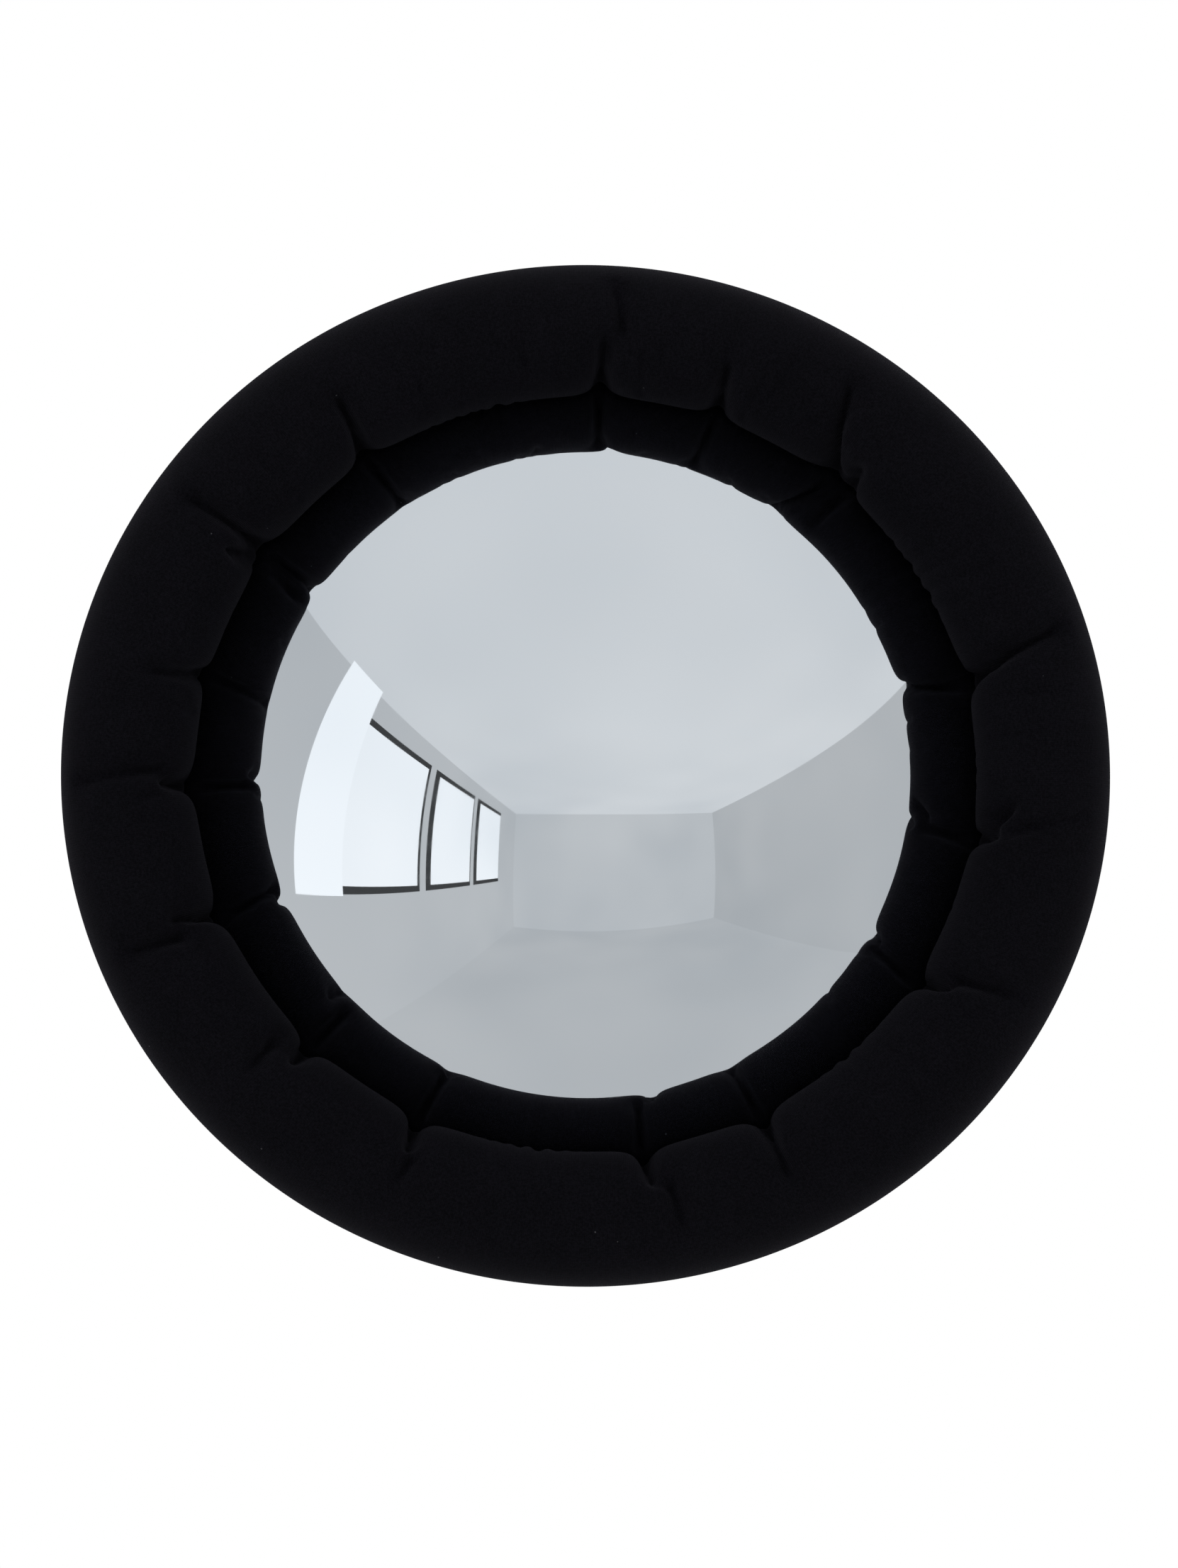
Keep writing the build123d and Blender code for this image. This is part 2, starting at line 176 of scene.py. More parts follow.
def noise(tree, place, scale, detail=3.0, roughness=0.55, distortion=0.0):
    made = node(
        tree,
        "ShaderNodeTexNoise",
        {"Vector": place, "Scale": scale, "Detail": detail, "Roughness": roughness, "Distortion": distortion},
    )
    return made.outputs["Fac"]


def ramp(tree, factor, stops):
    """A colour ramp; stops are (place, colour) with grey or RGB colours."""
    made = node(tree, "ShaderNodeValToRGB", {"Fac": factor})
    elements = made.color_ramp.elements
    while len(elements) < len(stops):
        elements.new(0.5)
    for element, (place, colour) in zip(elements, stops):
        element.position = place
        grey = isinstance(colour, (int, float))
        element.color = (colour, colour, colour, 1) if grey else (*colour, 1)
    return made.outputs["Color"]


def maths(tree, operation, a, b=0.0, c=0.0):
    made = node(tree, "ShaderNodeMath", {0: a, 1: b, 2: c}, operation=operation)
    return made.outputs["Value"]


def mix_colour(tree, factor, a, b, blend="MIX"):
    made = tree.nodes.new("ShaderNodeMix")
    made.data_type = "RGBA"
    made.blend_type = blend
    for index, value in ((0, factor), (6, a), (7, b)):
        if isinstance(value, bpy.types.NodeSocket):
            tree.links.new(value, made.inputs[index])
        elif index:
            made.inputs[index].default_value = (*value, 1)
        else:
            made.inputs[index].default_value = value
    return made.outputs[2]


def bump(tree, height, strength, distance, below=None):
    inputs = {"Height": height, "Strength": strength, "Distance": distance}
    if below is not None:
        inputs["Normal"] = below
    return node(tree, "ShaderNodeBump", inputs).outputs["Normal"]


WALE_WIDTH = 1.3 * MM
COURSE_HEIGHT = 1.1 * MM


def knit_material():
    """Matte black fine knit: rows of small loops, a soft nap, a few specks of lint, and painted shade that
    darkens the low parts of the stitch, between the loops.
    """
    material, tree, shader = new_material("black_knit")
    weave = node(tree, "ShaderNodeUVMap", uv_map="weave").outputs["UV"]
    axes = node(tree, "ShaderNodeSeparateXYZ", {"Vector": weave})
    wale = maths(tree, "MULTIPLY", axes.outputs["X"], 2 * math.pi / WALE_WIDTH)
    course = maths(tree, "MULTIPLY", axes.outputs["Y"], 2 * math.pi / COURSE_HEIGHT)
    slant = maths(tree, "MULTIPLY", maths(tree, "COSINE", wale), 1.2)
    loops = maths(tree, "SINE", maths(tree, "ADD", course, slant))
    ribs = maths(tree, "ABSOLUTE", maths(tree, "SINE", maths(tree, "MULTIPLY", wale, 0.5)))
    stitch = maths(tree, "MULTIPLY_ADD", loops, 0.35, ribs)
    place = object_place(tree)
    fuzz = noise(tree, place, 2600, detail=2)
    patches = noise(tree, place, 26, detail=4)
    rub = noise(tree, place, 90, detail=3)
    height = maths(tree, "MULTIPLY_ADD", fuzz, 0.8, stitch)
    tone = maths(tree, "MULTIPLY_ADD", patches, 0.55, maths(tree, "MULTIPLY", rub, 0.35))
    cloth = ramp(tree, tone, [(0.25, (0.0030, 0.0028, 0.0040)), (0.7, (0.0053, 0.0049, 0.0069))])
    # Painted shade: the cloth is made darker where the stitch is low, between the loops, as if shade fell
    # there.
    weave_shade = mix_colour(
        tree, maths(tree, "MULTIPLY", stitch, 0.42), (0.0019, 0.0018, 0.0025), cloth, "MIX"
    )
    cloth = mix_colour(tree, 0.6, cloth, weave_shade)
    flecks = noise(tree, place, 750, detail=2, roughness=0.7)
    shade = ramp(tree, flecks, [(0.34, (0.62, 0.62, 0.64)), (0.66, (1.42, 1.40, 1.44))])
    cloth = mix_colour(tree, 1.0, cloth, shade, "MULTIPLY")
    lint_cells = node(
        tree, "ShaderNodeTexVoronoi", {"Vector": place, "Scale": 46.0, "Randomness": 1.0}, feature="F1"
    )
    speck = maths(tree, "LESS_THAN", lint_cells.outputs["Distance"], 0.022)
    colour = mix_colour(tree, maths(tree, "MULTIPLY", speck, 0.35), cloth, (0.12, 0.12, 0.13))
    set_inputs(
        tree,
        shader,
        Base_Color=colour,
        Roughness=0.95,
        Specular_IOR_Level=0.05,
        Sheen_Weight=0.035,
        Sheen_Roughness=0.4,
        Sheen_Tint=(0.71, 0.68, 0.85, 1),
        Normal=bump(tree, height, 0.5, 0.35 * MM),
    )
    return material


def mirror_material():
    """Silvered acrylic: bright, very slightly uneven, with faint wiping haze."""
    material, tree, shader = new_material("silvered_acrylic")
    place = object_place(tree)
    haze = noise(tree, object_place(tree, (6, 6, 30), (0.3, 0, 0.5)), 3, detail=5)
    dust = noise(tree, place, 900, detail=1)
    rough = ramp(tree, maths(tree, "MULTIPLY_ADD", dust, 0.15, haze), [(0.45, 0.012), (0.95, 0.05)])
    tint = ramp(tree, noise(tree, place, 5), [(0.3, (0.795, 0.845, 0.890)), (0.7, (0.825, 0.870, 0.912))])
    set_inputs(
        tree,
        shader,
        Base_Color=tint,
        Metallic=1.0,
        Roughness=rough,
        Coat_Weight=0.25,
        Coat_Roughness=0.01,
        Normal=bump(tree, noise(tree, place, 9, detail=1), 0.02, 4 * MM),
    )
    return material


def metal_material(name, dark, light, rough, grain=(1, 1, 1), scale=300, bumps=0.1):
    """A metal whose colour and roughness wander along its grain."""
    material, tree, shader = new_material(name)
    place = object_place(tree, grain)
    fine = noise(tree, place, scale, detail=4)
    broad = noise(tree, object_place(tree), 45, detail=3)
    tone = maths(tree, "MULTIPLY_ADD", fine, 0.5, maths(tree, "MULTIPLY", broad, 0.5))
    low, high = rough
    set_inputs(
        tree,
        shader,
        Base_Color=ramp(tree, tone, [(0.3, dark), (0.7, light)]),
        Metallic=1.0,
        Roughness=ramp(tree, fine, [(0.3, low), (0.75, high)]),
        Normal=bump(tree, fine, bumps, 0.15 * MM),
    )
    return material


def powder_coat_material():
    """Black powder coat: fine orange peel, worn a little lighter in small scuffs."""
    material, tree, shader = new_material("powder_coat")
    place = object_place(tree)
    peel = noise(tree, place, 1500, detail=2)
    scuffs = noise(tree, object_place(tree, (1, 1, 7)), 70, detail=6, roughness=0.7)
    colour = ramp(tree, scuffs, [(0.55, (0.016, 0.016, 0.018)), (0.72, (0.045, 0.045, 0.048))])
    set_inputs(
        tree,
        shader,
        Base_Color=colour,
        Roughness=ramp(tree, scuffs, [(0.4, 0.42), (0.75, 0.6)]),
        Specular_IOR_Level=0.45,
        Normal=bump(tree, peel, 0.35, 0.12 * MM),
    )
    return material


def plastic_material(name, dark, light, rough=(0.38, 0.55), grain_scale=1800, grain=0.25):
    """Moulded plastic with a fine spark-eroded grain."""
    material, tree, shader = new_material(name)
    place = object_place(tree)
    texture = noise(tree, place, grain_scale, detail=2)
    broad = noise(tree, place, 60, detail=3)
    set_inputs(
        tree,
        shader,
        Base_Color=ramp(tree, broad, [(0.3, dark), (0.7, light)]),
        Roughness=ramp(tree, broad, [(0.3, rough[0]), (0.7, rough[1])]),
        Normal=bump(tree, texture, grain, 0.1 * MM),
    )
    return material


PLY_PITCH = 2.4 * MM


def plywood_material():
    """Birch plywood: straight-grained faces, and layers on the edge that alternate with depth."""
    material, tree, shader = new_material("birch_plywood")
    place = object_place(tree)
    grain = noise(tree, object_place(tree, (2.2, 26, 60)), 6, detail=6, roughness=0.6, distortion=0.4)
    figure = noise(tree, object_place(tree, (1.2, 8, 9)), 4, detail=3, distortion=1.5)
    tone = maths(tree, "MULTIPLY_ADD", grain, 0.6, maths(tree, "MULTIPLY", figure, 0.4))
    face = ramp(
        tree, tone, [(0.3, (0.40, 0.26, 0.14)), (0.5, (0.60, 0.44, 0.27)), (0.72, (0.70, 0.55, 0.36))]
    )
    depth = node(tree, "ShaderNodeSeparateXYZ", {"Vector": place}).outputs["Y"]
    layers = maths(tree, "SINE", maths(tree, "MULTIPLY", depth, 2 * math.pi / PLY_PITCH))
    fibres = noise(tree, object_place(tree, (1, 0.2, 1)), 700, detail=3)
    edge_tone = maths(tree, "MULTIPLY_ADD", layers, 0.35, fibres)
    edge = ramp(
        tree, edge_tone, [(0.3, (0.20, 0.12, 0.06)), (0.45, (0.42, 0.28, 0.16)), (0.7, (0.62, 0.47, 0.30))]
    )
    facing = node(tree, "ShaderNodeTexCoord").outputs["Normal"]
    along_axis = node(tree, "ShaderNodeSeparateXYZ", {"Vector": facing}).outputs["Y"]
    is_face = maths(tree, "GREATER_THAN", maths(tree, "ABSOLUTE", along_axis), 0.9)
    set_inputs(
        tree,
        shader,
        Base_Color=mix_colour(tree, is_face, edge, face),
        Roughness=ramp(tree, grain, [(0.3, 0.6), (0.7, 0.78)]),
        Normal=bump(tree, grain, 0.2, 0.3 * MM),
    )
    return material


RIB_PITCH = 1.1 * MM
STRAND_PITCH = 1.5 * MM


def webbing_material():
    """Black woven tape: fine ribs across it, with painted shade darkening the low parts of the weave."""
    material, tree, shader = new_material("webbing")
    weave = node(tree, "ShaderNodeUVMap", uv_map="weave").outputs["UV"]
    axes = node(tree, "ShaderNodeSeparateXYZ", {"Vector": weave})
    along = maths(tree, "SINE", maths(tree, "MULTIPLY", axes.outputs["X"], 2 * math.pi / RIB_PITCH))
    across = maths(tree, "SINE", maths(tree, "MULTIPLY", axes.outputs["Y"], 2 * math.pi / STRAND_PITCH))
    weave_shade = maths(tree, "MULTIPLY", along, across)
    fuzz = noise(tree, object_place(tree), 1800)
    height = maths(tree, "MULTIPLY_ADD", fuzz, 0.5, weave_shade)
    # The colour is random fuzz plus painted shade: it is darker where the weave is low.
    colour = ramp(tree, maths(tree, "MULTIPLY_ADD", weave_shade, 0.25, fuzz), [(0.3, 0.009), (0.75, 0.03)])
    set_inputs(
        tree,
        shader,
        Base_Color=colour,
        Roughness=0.8,
        Sheen_Weight=0.15,
        Sheen_Roughness=0.4,
        Normal=bump(tree, height, 0.6, 0.3 * MM),
    )
    return material


DIMPLE_PITCH = 2.6 * MM


def dust_cloth_material():
    """Thin black non-woven cloth, with its grid of tiny bonding dimples."""
    material, tree, shader = new_material("non_woven")
    place = object_place(tree, (1, 0, 1), (0, math.radians(45), 0))
    axes = node(tree, "ShaderNodeSeparateXYZ", {"Vector": place})
    waves = 2 * math.pi / DIMPLE_PITCH
    rows = maths(tree, "SINE", maths(tree, "MULTIPLY", axes.outputs["X"], waves))
    columns = maths(tree, "SINE", maths(tree, "MULTIPLY", axes.outputs["Z"], waves))
    dimples = ramp(tree, maths(tree, "MULTIPLY", rows, columns), [(0.45, 1.0), (0.85, 0.0)])
    fibres = noise(tree, object_place(tree), 1400, detail=4, distortion=1.0)
    clouds = noise(tree, object_place(tree), 30, detail=4)
    tone = maths(tree, "MULTIPLY_ADD", fibres, 0.6, maths(tree, "MULTIPLY", clouds, 0.4))
    height = maths(tree, "MULTIPLY_ADD", fibres, 0.4, dimples)
    set_inputs(
        tree,
        shader,
        Base_Color=ramp(tree, tone, [(0.3, (0.012, 0.012, 0.014)), (0.75, (0.04, 0.04, 0.044))]),
        Roughness=0.85,
        Sheen_Weight=0.1,
        Normal=bump(tree, height, 0.5, 0.25 * MM),
    )
    return material


def stuffing_material():
    """White polyester fibre."""
    material, tree, shader = new_material("polyester_fibre")
    fibres = noise(tree, object_place(tree), 420, detail=7, roughness=0.7, distortion=2.0)
    tufts = noise(tree, object_place(tree), 35, detail=3)
    tone = maths(tree, "MULTIPLY_ADD", fibres, 0.5, maths(tree, "MULTIPLY", tufts, 0.5))
    set_inputs(
        tree,
        shader,
        Base_Color=ramp(tree, tone, [(0.3, (0.70, 0.70, 0.68)), (0.7, (0.88, 0.88, 0.86))]),
        Roughness=0.95,
        Sheen_Weight=0.3,
        Normal=bump(tree, tone, 0.8, 2 * MM),
    )
    return material


def foam_material():
    """Black closed-cell foam, with painted shade darkening the hollows of its cells."""
    material, tree, shader = new_material("gasket_foam")
    cells = node(tree, "ShaderNodeTexVoronoi", {"Vector": object_place(tree), "Scale": 2200.0})
    set_inputs(
        tree,
        shader,
        # Painted shade: each cell is darker towards its hollow middle, where the bump is lowest.
        Base_Color=ramp(tree, cells.outputs["Distance"], [(0.1, 0.012), (0.7, 0.035)]),
        Roughness=0.85,
        Normal=bump(tree, cells.outputs["Distance"], 0.6, 0.2 * MM),
    )
    return material


# ---------------------------------------------------------------- camera

CAMERA_DISTANCE = 2.6
CAMERA_TURN = math.radians(-1.5)
CAMERA_ELEVATION = math.radians(-4.5)
PHOTO_HEIGHT = 0.885
PHOTO_OFFSET = (1.2 * MM, -6.8 * MM)


def make_camera():
    """The photograph's view: almost along the mirror's axis, from a little below it."""
    data = bpy.data.cameras.new("photo_camera")
    camera = link(bpy.data.objects.new("photo_camera", data))
    back = Vector(
        (
            math.sin(CAMERA_TURN) * math.cos(CAMERA_ELEVATION),
            -math.cos(CAMERA_TURN) * math.cos(CAMERA_ELEVATION),
            math.sin(CAMERA_ELEVATION),
        )
    )
    aim = MIDDLE + Vector((PHOTO_OFFSET[0], 0, PHOTO_OFFSET[1]))
    camera.location = aim + back * CAMERA_DISTANCE
    camera.rotation_euler = (-back).to_track_quat("-Z", "Y").to_euler()
    data.sensor_width = 36
    data.lens = data.sensor_width * CAMERA_DISTANCE / PHOTO_HEIGHT
    scene.camera = camera


make_camera()

# ---------------------------------------------------------------- studio


def glow_material(name, glow):
    """A glowing studio surface, with a broad mottle so that it isn't one flat tone."""
    material = bpy.data.materials.new(name)
    material.use_nodes = True
    tree = material.node_tree
    tree.nodes.clear()
    place = node(tree, "ShaderNodeTexCoord").outputs["Object"]
    mottle = noise(tree, place, 0.35, detail=2)
    shade = ramp(tree, mottle, [(0.3, (0.84, 0.86, 0.88)), (0.7, (0.99, 0.995, 1.0))])
    light = node(tree, "ShaderNodeEmission", {"Color": shade, "Strength": glow})
    output = tree.nodes.new("ShaderNodeOutputMaterial")
    tree.links.new(light.outputs["Emission"], output.inputs["Surface"])
    return material


# The mirror shows what it faces, so the soft studio light comes from a plain room, which only
# reflections see: a pale floor, walls and ceiling, and a row of windows with a curtain on the
# left. Its sizes are round ones for a small studio, in metres from the mirror.
ROOM_LEFT, ROOM_RIGHT = -1.5, 3.0
ROOM_FLOOR, ROOM_CEILING = -1.5, 1.0
ROOM_BACK, ROOM_FRONT = 1.0, -5.0
ROOM_TILT = math.radians(20)

WINDOW_COUNT = 3
WINDOW_START = -0.8
WINDOW_WIDTH = 1.0
WINDOW_PITCH = 1.1
WINDOW_SILL, WINDOW_HEAD = -0.4, 0.8
WINDOW_FRAME = 0.06
CURTAIN_WIDTH = 0.4
CURTAIN_LEAD = 0.05
OFF_WALL = Vector((0.02, 0, 0))

FLOOR_GLOW, CEILING_GLOW = 0.58, 0.77
LEFT_GLOW, RIGHT_GLOW, END_GLOW = 0.60, 0.55, 0.64
FRAME_GLOW, PANE_GLOW, CURTAIN_GLOW = 0.06, 1.10, 1.15


def studio_panel(pivot, name, corner, first_side, second_side, glow):
    """A flat glowing panel, from one corner and two sides. The camera never sees it."""
    corner, first_side, second_side = Vector(corner), Vector(first_side), Vector(second_side)
    points = [corner, corner + first_side, corner + first_side + second_side, corner + second_side]
    panel = mesh_object(name, points, [(0, 1, 2, 3)], smooth=False)
    panel.data.materials.append(glow_material(name, glow))
    panel.parent = pivot
    panel.visible_camera = False
    panel.visible_shadow = False


def make_room(pivot):
    """The room's floor, ceiling, side walls and far end; it is open behind the mirror."""
    low = Vector((ROOM_LEFT, ROOM_FRONT, ROOM_FLOOR))
    width = Vector((ROOM_RIGHT - ROOM_LEFT, 0, 0))
    length = Vector((0, ROOM_BACK - ROOM_FRONT, 0))
    height = Vector((0, 0, ROOM_CEILING - ROOM_FLOOR))
    studio_panel(pivot, "room_floor", low, width, length, FLOOR_GLOW)
    studio_panel(pivot, "room_ceiling", low + height, width, length, CEILING_GLOW)
    studio_panel(pivot, "room_left", low, length, height, LEFT_GLOW)
    studio_panel(pivot, "room_right", low + width, length, height, RIGHT_GLOW)
    studio_panel(pivot, "room_end", low, width, height, END_GLOW)


def make_windows(pivot):
    """Dark frames with bright panes along the left wall, and a curtain at the near end."""
    tall = WINDOW_HEAD - WINDOW_SILL
    frame_sides = (0, -WINDOW_WIDTH, 0), (0, 0, tall)
    pane_sides = (0, 2 * WINDOW_FRAME - WINDOW_WIDTH, 0), (0, 0, tall - 2 * WINDOW_FRAME)
    inset = Vector((0, -WINDOW_FRAME, WINDOW_FRAME)) + OFF_WALL
    for number in range(WINDOW_COUNT):
        start = WINDOW_START - number * WINDOW_PITCH
        corner = Vector((ROOM_LEFT, start, WINDOW_SILL)) + OFF_WALL
        studio_panel(pivot, f"window_frame_{number}", corner, *frame_sides, FRAME_GLOW)
        studio_panel(pivot, f"window_pane_{number}", corner + inset, *pane_sides, PANE_GLOW)
    curtain_start = WINDOW_START + CURTAIN_WIDTH - CURTAIN_LEAD
    curtain = Vector((ROOM_LEFT, curtain_start, WINDOW_SILL)) + 3 * OFF_WALL
    curtain_sides = (0, -CURTAIN_WIDTH, 0), (0, 0, ROOM_CEILING - WINDOW_SILL)
    studio_panel(pivot, "curtain", curtain, *curtain_sides, CURTAIN_GLOW)


def make_studio():
    """The reflected room, tilted because the mirror hangs tilted in it."""
    pivot = link(bpy.data.objects.new("studio", None))
    pivot.location = MIDDLE
    pivot.rotation_euler = (ROOM_TILT, 0, 0)
    make_room(pivot)
    make_windows(pivot)


make_studio()


FLOOR_SIZE, FLOOR_HEIGHT = 3.2, -0.95


def make_floor():
    """A plain pale floor, well below the mirror."""
    signs = ((-1, -1), (1, -1), (1, 1), (-1, 1))
    corners = [(x * FLOOR_SIZE, y * FLOOR_SIZE, FLOOR_HEIGHT) for x, y in signs]
    floor = mesh_object("floor", corners, [(0, 1, 2, 3)], smooth=False)
    material, tree, shader = new_material("pale_floor")
    tone = noise(tree, object_place(tree), 1.5, detail=3)
    set_inputs(
        tree,
        shader,
        Base_Color=ramp(tree, tone, [(0.3, 0.86), (0.7, 0.90)]),
        Roughness=0.9,
        Specular_IOR_Level=0.2,
    )
    floor.data.materials.append(material)
    floor.visible_glossy = False


make_floor()


SURROUND_LIGHT = 0.55


def make_lights():
    """A surround that is white behind the mirror and dimmer as a light, and three soft lights."""
    world = bpy.data.worlds.new("surround")
    scene.world = world
    world.use_nodes = True
    tree = world.node_tree
    seen = node(tree, "ShaderNodeLightPath").outputs["Is Camera Ray"]
    strength = maths(tree, "MULTIPLY_ADD", seen, 1 - SURROUND_LIGHT, SURROUND_LIGHT)
    tree.links.new(strength, tree.nodes["Background"].inputs["Strength"])
    tree.nodes["Background"].inputs["Color"].default_value = (1, 1, 1, 1)

    def soft_light(name, place, size, power, target=MIDDLE):
        data = bpy.data.lights.new(name, "AREA")
        data.shape = "RECTANGLE"
        data.size, data.size_y = size
        data.energy = power
        light = link(bpy.data.objects.new(name, data))
        light.location = place
        light.rotation_euler = (Vector(target) - Vector(place)).to_track_quat("-Z", "Y").to_euler()
        light.visible_glossy = False
        return light

    soft_light("key", (-1.6, -1.9, 1.5), (1.4, 1.4), 16)
    soft_light("rim_right", (2.0, -0.6, 0.6), (0.8, 1.6), 8)
    soft_light("back_fill", (0.6, 2.2, 1.2), (1.6, 1.6), 28)


make_lights()
scene.view_settings.view_transform = "Standard"

# ---------------------------------------------------------------- gathered ring
#
# A straight stuffed tube that is bent to a ring has too much cloth along its inside, and the
# spare cloth goes into gathers. Each gather is one or two folds. A fold is: the turn where it
# starts, how far it leans by its end (degrees), the distances from the ring's inner edge
# between which it runs over the front (mm), and its depth (mm).

FOLDS = [
    (88, 0, -25, 30, 9), (85, 2, 22, 62, 4.5),
    (70, 1, -25, 28, 7),
    (50, 6, -25, 50, 10), (47, 1, -25, 12, 4),
    (13, 4, -25, 60, 10),
    (-10, 1, -25, 10, 5), (-8, 4, 3, 20, 4.5), (-9, 4, 12, 60, 1.5),
    (-33, 2, -25, 16, 7.5), (-30, 2, 8, 54, 6),
    (-63, -1, -25, 42, 8.5),
    (-82, 1, -25, 20, 7.5), (-79, 1, 12, 50, 5.5),
    (-116, 1, -25, 20, 8), (-114, -1, 14, 42, 4),
    (-135, 0, -25, 13, 7.5), (-139, 1, 6, 36, 4.5),
    (-158, -2, -25, 28, 8), (-157, -1, 14, 60, 5.5),
    (-178, 0, -25, 16, 7.5), (180, 2, 9, 65, 4),
    (165, 3, -25, 34, 3.5),
    (145, 1, -25, 55, 9), (147, 2, -12, 14, 4.5),
    (125, -1, -25, 38, 9),
]

PUCKER_COUNT = 44
OVAL = 3.5 * MM
START_TURN = math.radians(146)

# The cloth before it settles: SLACK is its section's radius at the inner edge as a share of the
# tube's. While it settles, TAUT is its length and girth as a share of the tube's own, and SPARE
# is its length along the inside. PRESSURE is how far the filling pushes in each round. STRETCH and
# SQUEEZE are how much of a link's error is taken out when it is too long or too short, the SHEAR
# pair is the same for diagonal links, and DRIFT_KEPT is the motion that each round carries on.
RING_COLUMNS, RING_ROWS = 480, 72
SLACK = 0.94
TAUT = 0.985
SPARE = 1.06
PRESSURE = 0.045 * MM
BENDING = 0.15
STRETCH, SQUEEZE = 0.8, 0.35
SHEAR_STRETCH, SHEAR_SQUEEZE = 0.25, 0.1
DRIFT_KEPT = 0.9
SETTLING_ROUNDS, QUICK_ROUNDS = 300, 20

# Shares of a gather's depth: how far the start shape goes in, and how much girth it takes up.
START_SHARE, GIRTH_SHARE = 0.6, 0.45
GATHER_WIDTH = 7 * MM
CREASE_WIDTH = 3.8 * MM
PUCKER_WIDTH = 3.5 * MM
CREASE_SHARE, PUCKER_SHARE = 1.2, 1.3

# How firmly the cloth is held, from 0 to 1: in the gathers, and where it rests on the board,
# which is round the angle BOARD_SIDE of its section.
GATHER_HOLD, BOARD_HOLD = 0.97, 0.8
BOARD_SIDE, BOARD_REACH = math.radians(268), math.radians(22)

# The start shape bulges towards the dome behind the inner edge, so that no gap shows there.
DOME_BULGE = 6 * MM
BULGE_PLACE, BULGE_WIDTH = -24 * MM, 11 * MM


def out_of_round(turn):
    """The ring is a little wider than it is high."""
    return OVAL * np.cos(2 * turn)


def make_puckers():
    """Shallow puckers in the form of FOLDS, the same each run and most of them near the top."""
    chance = np.random.default_rng(7)
    puckers = []
    for _ in range(PUCKER_COUNT):
        start = chance.uniform(0, 12)
        end = start + chance.uniform(18, 40)
        depth = chance.uniform(1.0, 3.0)
        puckers.append((chance.normal(90, 70), chance.uniform(-2, 2), start, end, depth))
    return puckers


def ring_grid(columns, rows):
    """Turn round the mirror and angle round the tube's section, for each point of the grid."""
    turn = START_TURN + 2 * math.pi * np.arange(columns) / columns
    round_tube = 2 * math.pi * np.arange(rows) / rows
    return np.meshgrid(turn, round_tube, indexing="ij")


def ring_points(turn, angle, radius, circle):
    """Points on a tube; angle 0 points away from the mirror's axis and a quarter turn forwards."""
    return lathe_point(turn, circle + radius * np.cos(angle), RING_DEPTH + radius * np.sin(angle))


def over_the_front(angle):
    """Length along the section from the ring's inner edge, positive over the front."""
    return TUBE * wrap(math.pi - angle)


def front_length(distance_mm):
    """The same length, for a distance in mm that is seen from the front."""
    seen = distance_mm * MM
    return seen if seen < 0 else TUBE * math.acos(max(-1.0, 1 - seen / TUBE))


def fold_field(turn, angle, folds, width, shoulder=0.0):
    """How deep the folds are at each point, and how near each point is to the bottom of one."""
    along = over_the_front(angle)
    radius = RING + TUBE * np.cos(angle)
    depth, bottom = np.zeros_like(turn), np.zeros_like(turn)
    for start_turn, lean, start, end, deep in folds:
        low, high = front_length(start), front_length(end)
        share = np.clip((along - low) / (high - low), 0, 1)
        centre = math.radians(start_turn) + math.radians(lean) * share
        across = wrap(turn - centre) * radius
        fade_in = (9 if start > 0 else 25) * MM
        ends = smooth_step((along - low) / fade_in) * smooth_step((high - along) / (14 * MM))
        fade = deep * MM * ends * (1 - 0.35 * share)
        raised = shoulder * np.exp(-((across / (3.2 * width)) ** 2))
        depth += fade * (np.exp(-np.abs(across) / width) - raised)
        firm = min(1.0, deep / 6) * (1 - 0.4 * share)
        bottom = np.maximum(bottom, firm * ends * np.exp(-((across / (2.6 * MM)) ** 2)))
    return depth, bottom


def ahead(grid, along, around):
    """For each point, the one that many steps on, along the tube and round its section."""
    return np.roll(grid, (-along, -around), axis=(0, 1))


def outside_share(angle):
    """1 on the side of the section away from the mirror's axis, and 0 towards it."""
    return ((1 + np.cos(angle)) / 2) ** 2


def surface_normals(points):
    """Unit normals of the ring's grid, pointing out of the tube."""
    along = ahead(points, 1, 0) - ahead(points, -1, 0)
    around = ahead(points, 0, 1) - ahead(points, 0, -1)
    normals = np.cross(along, around)
    return normals / np.linalg.norm(normals, axis=-1, keepdims=True)


def pull_links(points, step, uncut, tension, compression, free):
    """Moves both ends of each link towards its uncut length."""
    links = ahead(points, *step) - points
    length = np.sqrt((links * links).sum(-1, keepdims=True))
    stretch = length - uncut
    move = links * (0.5 * np.where(stretch > 0, tension, compression) * stretch / length)
    return points + (move - ahead(move, -step[0], -step[1])) * free


